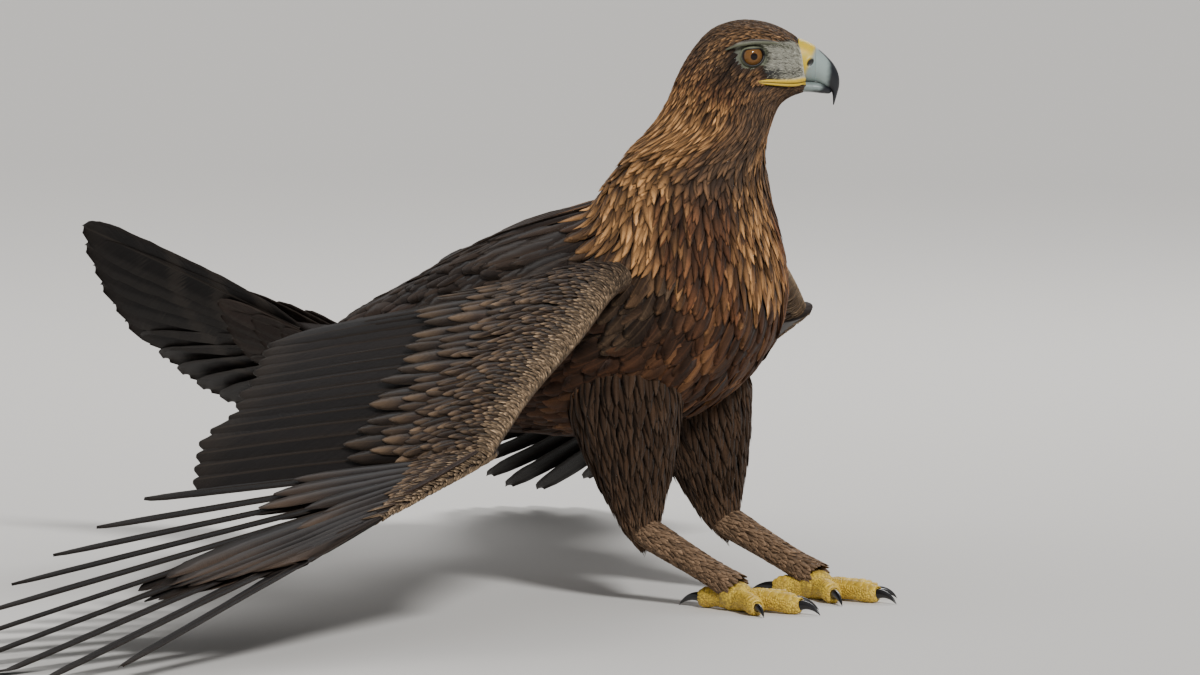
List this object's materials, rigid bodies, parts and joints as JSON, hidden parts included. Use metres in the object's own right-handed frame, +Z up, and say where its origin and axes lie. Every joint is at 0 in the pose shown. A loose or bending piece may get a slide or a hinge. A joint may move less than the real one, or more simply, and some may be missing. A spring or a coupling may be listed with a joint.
{
  "type": "golden eagle model",
  "caption": "Life-size still golden eagle standing with both wings spread and drooped to the floor, tail fanned, head turned in profile.",
  "frame": {"origin": "on the floor, under the middle of the whole bird's box", "axes": "+X the way the body faces, +Y the bird's left, +Z up; the head is turned 35 degrees to the bird's left"},
  "size_m": [0.8462, 1.4908, 0.5095],
  "materials": {
    "feather_crown": "matte feather, dark brown with tan edges",
    "feather_gold": "matte feather, golden buff lance-shaped tips on brown",
    "feather_body": "matte feather, dark brown with rusty streaks",
    "feather_wing": "matte feather, brown with pale tan edges",
    "feather_flight": "satin feather, near black and grey brown",
    "feather_tail": "satin feather, near black with grey bars",
    "feather_leg": "soft matte feather, pale brown",
    "cere_skin": "waxy bare skin, yellow",
    "bill_horn": "smooth horn, blue grey to near black",
    "claw_horn": "smooth horn, black",
    "toe_skin": "scaled skin, yellow",
    "eye": "wet and glossy, amber brown"
  },
  "bodies": {
    "root": {"head": "feather_crown", "neck": "feather_gold", "torso": "feather_body", "tail": "feather_tail", "cere": "cere_skin", "bill_upper": "bill_horn", "bill_lower": "bill_horn", "eye_left": "eye", "eye_right": "eye", "wing_left_arm": "feather_wing", "wing_left_hand": "feather_flight", "thigh_left": "feather_leg", "tarsus_left": "feather_leg", "foot_left": "toe_skin", "claw_left_middle": "claw_horn", "claw_left_inner": "claw_horn", "claw_left_outer": "claw_horn", "claw_left_hind": "claw_horn", "wing_right_arm": "feather_wing", "wing_right_hand": "feather_flight", "thigh_right": "feather_leg", "tarsus_right": "feather_leg", "foot_right": "toe_skin", "claw_right_middle": "claw_horn", "claw_right_inner": "claw_horn", "claw_right_outer": "claw_horn", "claw_right_hind": "claw_horn"}
  },
  "joints": []
}
